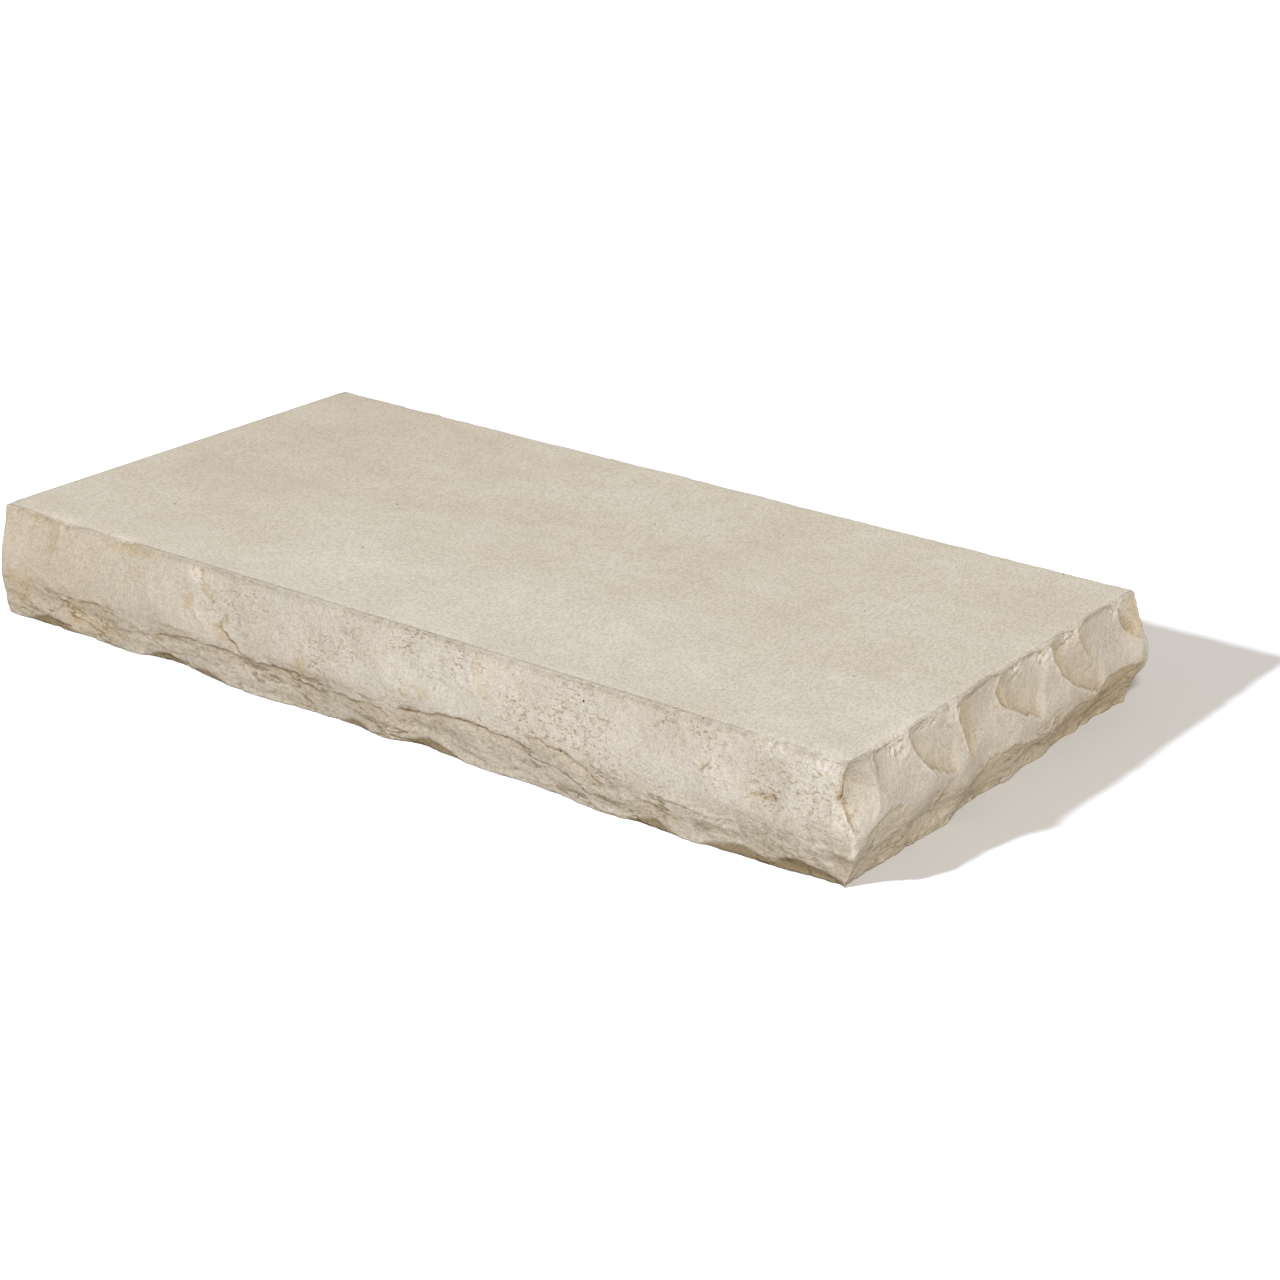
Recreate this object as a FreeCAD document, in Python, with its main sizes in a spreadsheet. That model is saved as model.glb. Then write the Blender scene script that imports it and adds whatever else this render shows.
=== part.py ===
"""Closed-end coping: one cast-stone slab, 24 in long, rock-faced on the front, the back and one end.

Millimetres, +Z up. The origin is at the middle of the underside. X runs along the slab: the plain end that
butts against the next coping is at -X, and the closed end, which finishes the run, is at +X. The front
face is at -Y.
"""
import FreeCAD, Part
import math
import os
import Sketcher

V = FreeCAD.Vector

SIZES = {
    # The slab.
    "length": 610,             # 24 in, from the butt end to the tip of the closed end
    "width": 330,              # 13 in, nose to nose
    "height": 70,              # 2 3/4 in
    # The bowed profile that the front, the back and the closed end share.
    "belly_height": 30,        # where the face stands out furthest
    "belly_radius": 40,        # rounding of the face there
    "batter": 9,               # how far the top edge stands back from the belly
    "undercut": 6,             # how far the bottom edge stands back from the belly
    "corner_radius": 3,        # upright corners of the closed end
    "arris_radius": 2,         # worn top edge of the rock-faced sides
    "trim": 12,                # stock beyond the closed end that its profile cuts away
    # Depth of each kind of chisel mark.
    "scallop_depth": 4,        # hollows under the top edge
    "flake_depth": 4,          # ledges split off along the lower faces
    "chip_depth": 4,           # small chips out of the bottom edge
}

# Each mark is an oval hollow: its place along the side, from the side's middle and as a share of its length,
# then in mm its distance from the top (scallops) or from the base (flakes and chips), its width and its rise,
# then its lean from upright in degrees, and last its bite, as a share of the depth of its kind.
END_SCALLOPS = [
    (-0.475, 17, 36, 46, 36, 1.40),
    (-0.335, 19, 30, 58, 58, 0.60),
    (-0.225, 18, 29, 62, 62, 0.90),
    (-0.055, 25, 58, 60, 36, 1.20),
    (0.088, 18, 72, 40, -12, 0.80),
    (0.240, 18, 30, 62, 52, 0.70),
    (0.365, 18, 38, 70, 62, 1.00),
]
END_FLAKES = [
    (-0.405, 4, 84, 50, 0, 1.00),
    (-0.255, 8, 74, 46, 4, 0.90),
    (-0.060, 2, 70, 44, -4, 1.30),
    (0.110, 1, 62, 32, 0, 1.10),
    (0.235, 2, 60, 44, 6, 1.50),
    (0.390, 5, 90, 50, 4, 1.30),
]
FRONT_SCALLOPS = [
    (-0.466, 13, 44, 44, -10, 0.45),
    (-0.210, 16, 34, 44, 20, 0.45),
    (0.048, 16, 60, 44, 0, 0.35),
    (0.388, 18, 48, 34, -12, 0.35),
]
FRONT_FLAKES = [
    (-0.467, 4, 64, 30, 0, 0.80),
    (-0.380, 5, 66, 42, -6, 1.00),
    (-0.275, 3, 88, 42, 4, 1.35),
    (-0.160, 13, 76, 24, 6, 0.50),
    (-0.066, 4, 70, 34, 6, 0.95),
    (0.052, 6, 64, 44, 0, 1.30),
    (0.150, 7, 78, 44, 6, 0.85),
    (0.410, 2, 80, 26, 0, 0.60),
    (0.482, 5, 40, 34, 0, 1.00),
]
FRONT_CHIPS = [
    (-0.452, 1, 42, 16, 4, 0.50),
    (-0.285, 1, 38, 18, 4, 0.60),
    (0.040, 3, 30, 18, 4, 0.80),
    (0.288, 2, 24, 14, 0, 0.50),
    (0.387, 1, 38, 16, 3, 0.60),
]
BACK_SCALLOPS = [
    (0.490, 16, 26, 44, 0, 0.70),
]
BACK_FLAKES = [
    (-0.420, 2, 96, 40, 6, 0.80),
    (-0.250, 5, 84, 44, -6, 0.60),
    (-0.080, 1, 110, 40, 0, 0.80),
    (0.110, 6, 80, 40, 8, 0.60),
    (0.290, 2, 116, 44, -4, 0.80),
    (0.470, 1, 60, 40, 0, 1.10),
]
BACK_CHIPS = [
    (-0.345, 2, 40, 18, 0, 0.90),
    (-0.010, 1, 34, 16, 4, 0.80),
    (0.215, 2, 44, 18, -4, 0.90),
]

# The oval that cuts a hollow is this many times as deep as the hollow, and so this much wider.
OVAL_DEPTH = 3.0
OVAL_SPREAD = 1 / (1 - (1 - 1 / OVAL_DEPTH) ** 2) ** 0.5

# Turn about Z that points a cutter, which bites towards its own -X, into each side.
FACING = {"end": 0, "front": -90, "back": 90}

NEAR = 1e-3                    # mm, for finding an edge by its place

doc = FreeCAD.newDocument("closed_end_coping")


def make_sheet():
    sheet = doc.addObject("Spreadsheet::Sheet", "sizes")
    for row, (name, value) in enumerate(SIZES.items(), start=1):
        sheet.set(f"A{row}", name)
        sheet.set(f"B{row}", str(value))
        sheet.setAlias(f"B{row}", name)
    doc.recompute()
    return sheet


def new_sketch(body, name, plane_role):
    sketch = body.newObject("Sketcher::SketchObject", name)
    plane = next(feature for feature in body.Origin.OriginFeatures if feature.Role == plane_role)
    sketch.AttachmentSupport = [(plane, "")]
    sketch.MapMode = "FlatFace"
    return sketch


def hold(sketch, kind, place, name, expression):
    """A driving distance of a sketch, bound to the sheet."""
    index = sketch.addConstraint(Sketcher.Constraint(kind, *place, sheet.evalExpression(expression)))
    sketch.renameConstraint(index, name)
    sketch.setExpression(f"Constraints.{name}", expression)


def hold_across(sketch, sign, point, name, expression):
    """A driving distance from the sketch's upright axis, out to the side that sign names."""
    origin = (-1, 1)
    place = (*origin, *point) if sign > 0 else (*point, *origin)
    hold(sketch, "DistanceX", place, name, expression)


def join(sketch, first, second):
    sketch.addConstraint(Sketcher.Constraint("Coincident", *first, *second))


def line(sketch, start, end):
    return sketch.addGeometry(Part.LineSegment(V(*start, 0), V(*end, 0)))


def bowed_side(sketch, name, sign, tip):
    """The shared profile of a rock-faced side: a rounded nose with a straight run down to the base and one
    up to the top. Returns the profile's bottom point and its top point, as sketch points."""
    reach = sheet.evalExpression(tip)
    radius = sheet.belly_radius
    centre = V(sign * (reach - radius), sheet.belly_height, 0)
    bottom = V(sign * (reach - sheet.undercut), 0, 0)
    top = V(sign * (reach - sheet.batter), sheet.height, 0)
    low_turn = tangent_turn(centre, bottom, radius, sign)
    high_turn = tangent_turn(centre, top, radius, -sign)
    first_turn, last_turn = (low_turn, high_turn) if sign > 0 else (high_turn, low_turn)
    circle = Part.Circle(centre, V(0, 0, 1), radius)
    nose = sketch.addGeometry(Part.ArcOfCircle(circle, first_turn, last_turn))
    nose_low, nose_high = ((nose, 1), (nose, 2)) if sign > 0 else ((nose, 2), (nose, 1))
    low_end = circle.value(low_turn)
    high_end = circle.value(high_turn)
    lower = line(sketch, (bottom.x, bottom.y), (low_end.x, low_end.y))
    upper = line(sketch, (high_end.x, high_end.y), (top.x, top.y))
    sketch.addConstraint(Sketcher.Constraint("Tangent", lower, 2, *nose_low))
    sketch.addConstraint(Sketcher.Constraint("Tangent", upper, 1, *nose_high))
    hold(sketch, "Radius", (nose,), f"{name}_nose_radius", "sizes.belly_radius")
    hold_across(sketch, sign, (nose, 3), f"{name}_nose_centre", f"{tip} - sizes.belly_radius")
    hold(sketch, "DistanceY", (-1, 1, nose, 3), f"{name}_belly_height", "sizes.belly_height")
    hold_across(sketch, sign, (lower, 1), f"{name}_bottom", f"{tip} - sizes.undercut")
    sketch.addConstraint(Sketcher.Constraint("PointOnObject", lower, 1, -1))
    hold_across(sketch, sign, (upper, 2), f"{name}_top", f"{tip} - sizes.batter")
    hold(sketch, "DistanceY", (-1, 1, upper, 2), f"{name}_height", "sizes.height")
    return (lower, 1), (upper, 2)


def tangent_turn(centre, point, radius, sign):
    """The angle on the nose's circle where a line from the point touches it."""
    away = point - centre
    swing = math.acos(radius / away.Length)
    return math.atan2(away.y, away.x) + sign * swing


def point_of(sketch, point):
    place = sketch.getPoint(*point)
    return place.x, place.y


def pad_cross_section(body):
    """Front and back: the cross-section, run from the butt end to past the closed end."""
    sketch = new_sketch(body, "cross_section", "YZ_Plane")
    front_bottom, front_top = bowed_side(sketch, "front", -1, "sizes.width / 2")
    back_bottom, back_top = bowed_side(sketch, "back", 1, "sizes.width / 2")
    for first, second in ((front_bottom, back_bottom), (front_top, back_top)):
        flat = line(sketch, point_of(sketch, first), point_of(sketch, second))
        join(sketch, (flat, 1), first)
        join(sketch, (flat, 2), second)
    pad = body.newObject("PartDesign::Pad", "slab_run")
    pad.Profile = sketch
    pad.SideType = "Two sides"
    pad.setExpression("Length", "sizes.length / 2 + sizes.trim")
    pad.setExpression("Length2", "sizes.length / 2")
    doc.recompute()
    return pad


def trim_closed_end(body):
    """The closed end: the same profile, cut across the run, so that it meets the two sides in mitres."""
    sketch = new_sketch(body, "closed_end_profile", "XZ_Plane")
    tip = "sizes.length / 2"
    bottom, top = bowed_side(sketch, "end", 1, tip)
    beyond = sheet.evalExpression(f"{tip} + 2 * sizes.trim")
    low_corner = (beyond, 0)
    high_corner = (beyond, sheet.height)
    below = line(sketch, point_of(sketch, bottom), low_corner)
    outer = line(sketch, low_corner, high_corner)
    above = line(sketch, high_corner, point_of(sketch, top))
    join(sketch, bottom, (below, 1))
    join(sketch, (below, 2), (outer, 1))
    join(sketch, (outer, 2), (above, 1))
    join(sketch, (above, 2), top)
    sketch.addConstraint(Sketcher.Constraint("Horizontal", below))
    sketch.addConstraint(Sketcher.Constraint("Vertical", outer))
    sketch.addConstraint(Sketcher.Constraint("Horizontal", above))
    hold_across(sketch, 1, (outer, 1), "beyond", f"{tip} + 2 * sizes.trim")
    pocket = body.newObject("PartDesign::Pocket", "closed_end")
    pocket.Profile = sketch
    pocket.SideType = "Symmetric"
    pocket.setExpression("Length", "sizes.width + 2 * sizes.trim")
    doc.recompute()
    return pocket


def edges_where(shape, test):
    """Names of the edges whose middle point passes the test."""
    names = []
    for number, edge in enumerate(shape.Edges, start=1):
        middle = edge.valueAt((edge.FirstParameter + edge.LastParameter) / 2)
        if test(middle):
            names.append(f"Edge{number}")
    return names


def round_edges(body, name, base, test, radius_name):
    fillet = body.newObject("PartDesign::Fillet", name)
    fillet.Base = (base, edges_where(base.Shape, test))
    fillet.setExpression("Radius", f"sizes.{radius_name}")
    doc.recompute()
    return fillet


def on_mitre(point):
    """On an upright corner of the closed end, where both sides stand back from their tips by as much."""
    from_end = sheet.length / 2 - point.x
    from_side = sheet.width / 2 - abs(point.y)
    return abs(from_end - from_side) < NEAR


def on_rock_faced_arris(point):
    return point.z > sheet.height - NEAR and point.x > NEAR - sheet.length / 2


def make_plain_slab():
    """The slab with its bowed sides, before it is chiselled."""
    body = doc.addObject("PartDesign::Body", "plain_slab")
    run = pad_cross_section(body)
    closed = trim_closed_end(body)
    if closed.Shape.Volume >= run.Shape.Volume:
        raise RuntimeError("the closed end's profile cut nothing")
    cornered = round_edges(body, "upright_corners", closed, on_mitre, "corner_radius")
    worn = round_edges(body, "worn_arris", cornered, on_rock_faced_arris, "arris_radius")
    body.Tip = worn
    return body


def set_back(height):
    """How far the face stands back from its tip at a height, as an expression."""
    above = f"sizes.batter * max(0; {height} - sizes.belly_height) / (sizes.height - sizes.belly_height)"
    below = f"sizes.undercut * max(0; sizes.belly_height - ({height})) / sizes.belly_height"
    return f"{above} + {below}"


def face_slope(height):
    """How far the face tilts up (above the belly) or down (below it) at a height, in radians."""
    if sheet.evalExpression(height) > sheet.belly_height:
        return math.atan2(sheet.batter, sheet.height - sheet.belly_height)
    return -math.atan2(sheet.undercut, sheet.belly_height)


def make_mark(name, side, depth, height, place, width, rise, lean):
    """An oval cutter, square to the face and sunk into it by the mark's depth."""
    oval = doc.addObject("Part::Ellipsoid", name)
    oval.setExpression("Radius2", f"{depth} * {OVAL_DEPTH}")
    oval.Radius1 = rise / 2 * OVAL_SPREAD
    oval.Radius3 = width / 2 * OVAL_SPREAD
    slope = face_slope(height)
    facing = FreeCAD.Rotation(V(0, 0, 1), FACING[side])
    squared = FreeCAD.Rotation(V(0, 1, 0), -math.degrees(slope))
    leaning = FreeCAD.Rotation(V(1, 0, 0), lean)
    oval.Placement.Rotation = facing * squared * leaning
    proud = f"{depth} * {OVAL_DEPTH - 1}"
    clear = f"{proud} * {math.cos(slope)} - ({set_back(height)})"
    places = {
        "end": (f"sizes.length / 2 + {clear}", f"sizes.width * {place}"),
        "front": (f"sizes.length * {place}", f"-(sizes.width / 2 + {clear})"),
        "back": (f"sizes.length * {place}", f"sizes.width / 2 + {clear}"),
    }
    level = f"{height} + {proud} * {math.sin(slope)}"
    for axis, expression in zip("xyz", (*places[side], level)):
        oval.setExpression(f"Placement.Base.{axis}", expression)
    return oval


def make_marks(side, kind, rows):
    marks = []
    for number, (place, level, width, rise, lean, bite) in enumerate(rows, start=1):
        height = f"sizes.height - {level}" if kind == "scallop" else f"{level}"
        depth = f"sizes.{kind}_depth * {bite}"
        marks.append(make_mark(f"{side}_{kind}_{number}", side, depth, height, place, width, rise, lean))
    return marks


def cut_away(stone, name, marks):
    """The stone with one kind of mark cut out of it."""
    joined = doc.addObject("Part::MultiFuse", name)
    joined.Shapes = marks
    chiselled = doc.addObject("Part::Cut", f"after_{name}")
    chiselled.Base = stone
    chiselled.Tool = joined
    doc.recompute()
    return chiselled


def chisel(slab):
    """The rock face: every hollow cut out of the slab, one kind of mark after another."""
    back_hollows = make_marks("back", "scallop", BACK_SCALLOPS) + make_marks("back", "flake", BACK_FLAKES)
    marks_by_kind = {
        "end_scallops": make_marks("end", "scallop", END_SCALLOPS),
        "end_flakes": make_marks("end", "flake", END_FLAKES),
        "front_scallops": make_marks("front", "scallop", FRONT_SCALLOPS),
        "front_flakes": make_marks("front", "flake", FRONT_FLAKES),
        "front_chips": make_marks("front", "chip", FRONT_CHIPS),
        "back_hollows": back_hollows,
        "back_chips": make_marks("back", "chip", BACK_CHIPS),
    }
    rock_faced = slab
    for name, marks in marks_by_kind.items():
        rock_faced = cut_away(rock_faced, name, marks)
    rock_faced.Label = "coping_slab"
    return rock_faced


def check_document(parts):
    for item in doc.Objects:
        if {"Invalid", "Error"} & set(item.State):
            raise RuntimeError(f"{item.Label} failed: {item.State}")
    for part in parts:
        shape = part.Shape
        if shape.isNull() or not shape.isValid() or len(shape.Solids) != 1:
            raise RuntimeError(f"{part.Label} isn't one sound solid")


sheet = make_sheet()
plain_slab = make_plain_slab()
parts = [chisel(plain_slab)]
check_document(parts)
os.makedirs("parts", exist_ok=True)
for part in parts:
    part.Shape.exportStep(f"parts/{part.Label}.step")
    box = part.Shape.BoundBox
    print(part.Label, "volume", round(part.Shape.Volume), "faces", len(part.Shape.Faces))
    print("box", [round(n, 3) for n in (box.XMin, box.XMax, box.YMin, box.YMax, box.ZMin, box.ZMax)])
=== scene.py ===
"""Closed-end coping: the rock-faced cast-stone skin of the slab, its floor, light and camera.

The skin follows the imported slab. Rays cast inwards from all round find its sides, so the skin keeps every
scallop, ledge and chip of the solid, and finer relief is then pressed into it. Lengths are in millimetres
until the mesh is written. X runs along the slab, the front is at -Y, and the closed end is at +X.
"""
import math

import bpy
import numpy as np
from mathutils import Matrix, Vector, noise
from mathutils.bvhtree import BVHTree
from mathutils.geometry import delaunay_2d_cdt


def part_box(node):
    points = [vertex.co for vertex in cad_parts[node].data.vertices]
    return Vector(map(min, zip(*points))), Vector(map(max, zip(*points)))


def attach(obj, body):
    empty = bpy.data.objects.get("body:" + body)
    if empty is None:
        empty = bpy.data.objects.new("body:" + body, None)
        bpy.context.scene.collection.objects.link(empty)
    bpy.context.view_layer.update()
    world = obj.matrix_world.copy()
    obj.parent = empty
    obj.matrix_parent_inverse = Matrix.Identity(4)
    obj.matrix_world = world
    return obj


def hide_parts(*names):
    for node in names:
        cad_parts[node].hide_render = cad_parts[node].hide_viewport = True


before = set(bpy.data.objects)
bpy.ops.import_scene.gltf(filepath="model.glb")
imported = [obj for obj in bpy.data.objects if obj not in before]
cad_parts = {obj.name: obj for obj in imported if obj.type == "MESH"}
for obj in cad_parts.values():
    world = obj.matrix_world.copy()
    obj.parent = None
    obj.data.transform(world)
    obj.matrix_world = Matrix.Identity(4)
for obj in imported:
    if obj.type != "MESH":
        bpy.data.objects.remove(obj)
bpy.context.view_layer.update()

MM = 0.001

NODE = "coping_slab"
LOW, HIGH = (np.array(corner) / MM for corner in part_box(NODE))
BUTT_X, TIP_X = LOW[0], HIGH[0]
FRONT_Y, BACK_Y = LOW[1], HIGH[1]
TOP_Z = HIGH[2]

# Noises of the relief: the size of their grains in millimetres, octaves, seed, and for some how far they are
# drawn out along X, Y and Z.
NOISES = {
    "stray_along": (30, 3, 11),
    "stray_up": (22, 3, 12),
    "broad": (70, 2, 1),
    "middle": (20, 3, 2),
    "fine": (4.2, 3, 4),
    "plates": (40, 3, 5),
    "layers": (15, 3, 3, (3.4, 3.4, 0.8)),
    "crack_waver": (5, 4, 21),
    "crack_breaks": (9, 3, 22),
    "crumbs": (3.4, 3, 7),
    "chips": (9, 4, 23),
    "bites": (13, 4, 8, (1, 1, 3)),
    "nicks": (6.5, 3, 6, (1, 1, 3)),
    "wear": (24, 3, 31),
    "facet": (9, 3, 32),
    "arris_breaks": (9, 3, 24),
    "smudges": (9, 4, 28),
    "dust": (38, 3, 9),
    "pale": (26, 3, 25),
    "pits": (30, 4, 26),
    "layered": (32, 3, 27),
    "swell": (85, 3, 0),
}
SEED_SHIFT = 17.31
FRACTAL = (1.0, 2.1)  # how fast the octaves weaken, and how many times finer each is

# Patches: each fades in between two levels of its noise. A pair of places whose name ends in X, Y or Z is
# where something fades in or out in the same way.
PATCH_LEVELS = {"crack_breaks": (-0.4, 0.3), "arris_breaks": (-0.35, 0.25), "smudges": (-0.45, 0.35),
                "pale": (0.02, 0.45), "pits": (-0.3, 0.5), "layered": (-0.4, 0.3)}


def smooth(value, low, high):
    """A soft step from 0 at low to 1 at high."""
    share = np.clip((value - low) / (high - low), 0, 1)
    return share * share * (3 - 2 * share)


def at_least(least, share):
    """A share moved up, so that it goes from least to 1."""
    return least + (1 - least) * share


def noise_field(points, kind):
    """Fractal noise of about -1 to 1 at each point."""
    size, octaves, seed, *stretch = NOISES[kind]
    scaled = points / (np.array(stretch[0] if stretch else (1, 1, 1)) * size) + seed * SEED_SHIFT
    values = [noise.fractal(Vector(p), *FRACTAL, octaves) for p in scaled.reshape(-1, 3)]
    return np.array(values).reshape(points.shape[:-1])


def patches(points, kind):
    """1 inside the patches of a kind, 0 between them."""
    return smooth(noise_field(points, kind), *PATCH_LEVELS[kind])


# The sides, as rays find them

# Spacing of the skin's columns along each side, and of its rows up the side.
FRONT_STEP = 1.05
END_STEP = 0.95
BACK_STEP = 4.0
BUTT_STEP = 9.0
ROW_STEP = 1.05
ARRIS_ROWS = (2.6, 1.9, 1.35, 0.9, 0.5, 0.2, 0.0)  # rows round the worn arris, down from the top

CORE_INSET = 30.0  # rays aim at a core this far inside the box, and fan out round its corners
RAY_START = 60.0  # rays start this far outside the core
SKIM = 0.02  # rays at the very top, base or end are cast this far inside it

# How far the rays stray: less on the closed end, and not at all near the top and the butt end.
STRAY_ALONG, STRAY_UP = 7.0, 4.0
STRAY_TOP_Z = (50, 66)
STRAY_BUTT_X = (BUTT_X, BUTT_X + 20)
NEAR_END_X = (TIP_X - 40, TIP_X - 20)
END_CALM = 0.55


def side_columns():
    """Where each column of rays aims and which way it faces, from the butt end's front corner round the
    closed end to the butt end's back corner."""
    near_x = TIP_X - CORE_INSET
    front_y = FRONT_Y + CORE_INSET
    back_y = BACK_Y - CORE_INSET
    columns = []
    for x in spaced(BUTT_X, near_x, FRONT_STEP):
        columns.append((x, front_y, 0, -1))
    columns += corner_columns(near_x, front_y, -90)
    for y in spaced(front_y, back_y, END_STEP):
        columns.append((near_x, y, 1, 0))
    columns += corner_columns(near_x, back_y, 0)
    for x in spaced(near_x, BUTT_X, BACK_STEP):
        columns.append((x, back_y, 0, 1))
    columns.append((BUTT_X, back_y, 0, 1))
    table = np.array(columns, float)
    return table[:, :2], table[:, 2:]


def spaced(start, end, step):
    count = max(1, round(abs(end - start) / step))
    return np.linspace(start, end, count, endpoint=False)


def corner_columns(x, y, first_angle):
    count = round(CORE_INSET * math.pi / 2 / END_STEP)
    angles = np.radians(first_angle + 90 * np.arange(count) / count)
    return [(x, y, math.cos(a), math.sin(a)) for a in angles]


def row_heights():
    count = round((TOP_Z - ARRIS_ROWS[0]) / ROW_STEP)
    lower = np.linspace(0, TOP_Z - ARRIS_ROWS[0], count, endpoint=False)
    return np.concatenate([lower, TOP_Z - np.array(ARRIS_ROWS)])


def slab_tree():
    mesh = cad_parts[NODE].data
    corners = [Vector(v.co) / MM for v in mesh.vertices]
    return BVHTree.FromPolygons(corners, [tuple(p.vertices) for p in mesh.polygons])


def cast_sides(core, facing, heights):
    """The slab's surface under every ray: rows by columns by (x, y, z). The rays stray a little along the
    side and up, so that the edges of the slab's marks wander as broken rock does."""
    tree = slab_tree()
    tangent = np.stack([-facing[:, 1], facing[:, 0]], axis=1)
    grid = np.zeros((len(heights), len(core), 3))
    grid[..., :2] = core + facing * CORE_INSET
    grid[..., 2] = np.array(heights)[:, None]
    along, up = strayed(grid)
    for row, height in enumerate(heights):
        for column in range(len(core)):
            x, y = core[column] + tangent[column] * along[row, column]
            dx, dy = facing[column]
            ray_x = max(x, BUTT_X + SKIM)
            ray_z = min(max(height + up[row, column], SKIM), TOP_Z - SKIM)
            start = Vector((ray_x + dx * RAY_START, y + dy * RAY_START, ray_z))
            place = tree.ray_cast(start, Vector((-dx, -dy, 0)))[0]
            if place is None:
                raise RuntimeError(f"no surface at column {column}, row {row}")
            reach = (place.x - ray_x) * dx + (place.y - y) * dy
            grid[row, column, :2] = core[column] + facing[column] * reach
    return grid


def strayed(places):
    """How far the ray at each place strays along the side and up."""
    x, z = places[..., 0], places[..., 2]
    share = (1 - smooth(z, *STRAY_TOP_Z)) * smooth(x, *STRAY_BUTT_X) * (1 - END_CALM * smooth(x, *NEAR_END_X))
    along = STRAY_ALONG * noise_field(places, "stray_along")
    up = STRAY_UP * noise_field(places, "stray_up")
    return along * share, up * share


def grid_normals(grid):
    along = np.gradient(grid, axis=1)
    up = np.gradient(grid, axis=0)
    normals = np.cross(along, up)
    return normals / np.linalg.norm(normals, axis=2, keepdims=True)


def blurred(values, rows, columns):
    """A soft average over so many rows and columns each way."""
    result = values.astype(float)
    for axis, reach in ((0, rows), (1, columns)):
        offsets = np.arange(-2 * reach, 2 * reach + 1)
        weights = np.exp(-0.5 * (offsets / max(reach, 1)) ** 2)
        pad = [(0, 0)] * result.ndim
        pad[axis] = (2 * reach, 2 * reach)
        padded = np.pad(result, pad, mode="edge")
        size = result.shape[axis]
        result = sum(w * np.take(padded, range(2 * reach + o, 2 * reach + o + size), axis=axis)
                     for w, o in zip(weights, offsets)) / weights.sum()
    return result


# Worn ledges

# The lower half's ledges are worn over so many rows and columns, and more near the butt end, where the face
# turns under without a ledge.
SOFTENING, SOFT_SHARE, SOFT_Z = 7, 0.75, (32, 44)
BUTT_SOFTENING, BUTT_SOFT_SHARE, BUTT_SOFT_Z, BUTT_SOFT_X = 11, 0.9, (38, 50), (-220, -170)
BUTT_KEPT_X = (BUTT_X, BUTT_X + 12)  # the butt end itself keeps its place

END_X = (TIP_X - 18, TIP_X - 10)
CORNER_X = (TIP_X - 22, TIP_X - 10)  # the closed end's corners stay sharp
CORNER_Y = (BACK_Y - 22, BACK_Y - 10)


def end_share(grid):
    """1 on the closed end, 0 on the front and the back, and between the two round the corners."""
    return smooth(grid[..., 0], *END_X)


def corner_share(grid):
    """1 at the closed end's two corners, which stay sharp, and 0 away from them."""
    return smooth(grid[..., 0], *CORNER_X) * smooth(np.abs(grid[..., 1]), *CORNER_Y)


def softened(grid):
    """The sides with their lower half's ledges worn to gentler slopes."""
    x, z = grid[..., 0], grid[..., 2]
    share = SOFT_SHARE * (1 - smooth(z, *SOFT_Z)) * (1 - corner_share(grid))
    butt_share = BUTT_SOFT_SHARE * (1 - smooth(z, *BUTT_SOFT_Z)) * (1 - smooth(x, *BUTT_SOFT_X))
    result = grid.copy()
    for reach, weight in ((SOFTENING, share), (BUTT_SOFTENING, butt_share)):
        moved = (blurred(result, reach, reach) - result) * weight[..., None]
        result[..., 0] += moved[..., 0] * smooth(x, *BUTT_KEPT_X)
        result[..., 1] += moved[..., 1]
    return result


# Cracks

# Each crack is a line of points seen from outside, (x, z) on the front and (y, z) on the closed end, with two
# numbers after it. The face to the right of its travel is set back by the first, and comes forward again over
# the second.
FRONT_CRACKS = [
    ([(-262, 12), (-255, 20), (-248, 24.5), (-242, 23), (-237, 25), (-227, 27), (-214, 27), (-204, 24)],
     0.7, 6),
    ([(-186, 16), (-175, 18.5), (-160, 22), (-144, 24), (-131, 24), (-116, 24), (-105, 21.5), (-94, 17)],
     0.8, 6),
    ([(-176, 27), (-164, 29), (-152, 28), (-143, 30)], 0.5, 5),
    ([(-135, 39), (-123, 38), (-111, 31), (-106, 25), (-95, 23), (-81, 24), (-66, 24.5), (-57, 22.5),
      (-49, 19)], 1.2, 7),
    ([(-41, 20.5), (-32, 20), (-26, 19), (-14, 21), (-2, 20), (6, 13.5)], 0.9, 6),
    ([(4, 21), (15, 23.5), (25, 25), (33, 25), (37, 28), (50, 29.5), (63, 29.5), (76, 28), (91, 27),
      (104, 22)], 1.3, 8),
    ([(95, 31), (106, 33), (116, 31), (125, 30), (134, 27), (142, 23), (154, 16)], 1.0, 8),
    ([(169, 16.5), (184, 16), (201, 8.5)], 0.8, 6),
    ([(236, 39.5), (243, 41), (254, 42), (263, 39)], 1.1, 5),
    ([(76, 44), (70, 44), (65, 46), (61, 50.5), (56, 57), (57.5, 70)], 0.6, 14),
    ([(216, 52), (215, 47), (212, 43), (207, 42)], 1.1, 5),
    ([(-126, 54), (-133, 48), (-142, 56), (-146, 70)], 0.5, 8),
    ([(-123, 46), (-117, 38)], 1.0, 5),
    ([(-262, 72), (-258, 63), (-262, 52)], 0.5, 8),
]
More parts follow.
